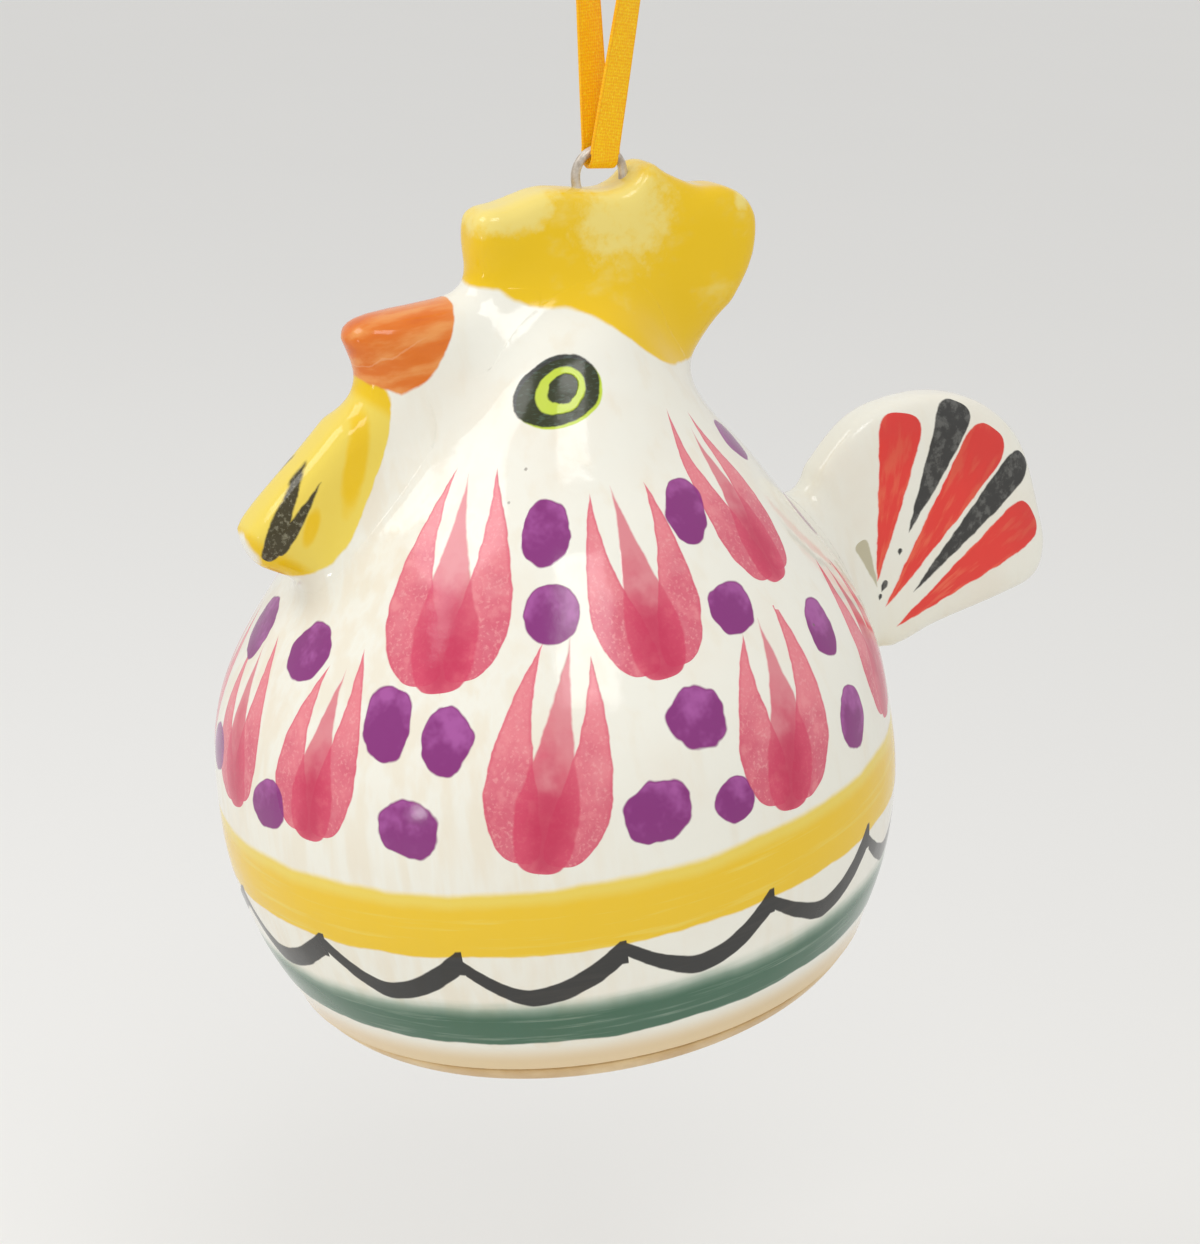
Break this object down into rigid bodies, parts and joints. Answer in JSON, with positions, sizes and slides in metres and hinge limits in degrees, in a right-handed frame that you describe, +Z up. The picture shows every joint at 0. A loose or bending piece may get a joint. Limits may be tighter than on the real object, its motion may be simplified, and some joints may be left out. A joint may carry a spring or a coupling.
{
  "type": "rooster ornament",
  "caption": "Hollow glazed ceramic rooster, round-bodied and hand-painted, that hangs by a wire loop in its comb from a tied satin ribbon.",
  "frame": {"origin": "top of the hook that the ribbon loop hangs on, straight above the wire loop and the bird's centre of mass", "axes": "+Z up while hanging, -Y towards the beak, +X towards the bird's left side"},
  "size_m": [0.0678, 0.09, 0.1368],
  "materials": {
    "white_glaze": "gloss white glaze with hand-painted decoration",
    "base_clay": "cream clay with a thin clear glaze",
    "yellow_glaze": "gloss yellow brushed glaze",
    "orange_glaze": "gloss orange brushed glaze",
    "loop_wire": "dull fired wire",
    "satin_ribbon": "orange satin weave"
  },
  "bodies": {
    "hanger": {"ribbon_knot": "satin_ribbon", "ribbon_top_left": "satin_ribbon", "ribbon_top_right": "satin_ribbon", "ribbon_end_left": "satin_ribbon", "ribbon_end_right": "satin_ribbon"},
    "legs": {"ribbon_leg_left": "satin_ribbon", "ribbon_leg_right": "satin_ribbon"},
    "bight": {"ribbon_bight": "satin_ribbon"},
    "bird": {"body_shell": "white_glaze", "base_disc": "base_clay", "comb": "yellow_glaze", "beak": "orange_glaze", "wattle": "yellow_glaze", "tail": "white_glaze", "wire_hanger": "loop_wire"}
  },
  "joints": [
    {"name": "turn", "type": "hinge", "parent": "hanger", "child": "legs", "pos_m": [0, 0, -0.024], "axis": [0, 0, 1], "range_deg": [-90, 90], "deforming": ["ribbon_leg_left", "ribbon_leg_right"]},
    {"name": "sway", "type": "hinge", "parent": "legs", "child": "bight", "pos_m": [0, 0, -0.0435], "axis": [0, 1, 0], "range_deg": [-18, 18]},
    {"name": "rock", "type": "hinge", "parent": "bight", "child": "bird", "pos_m": [0, 0, -0.046], "axis": [1, 0, 0], "range_deg": [-30, 30]}
  ]
}
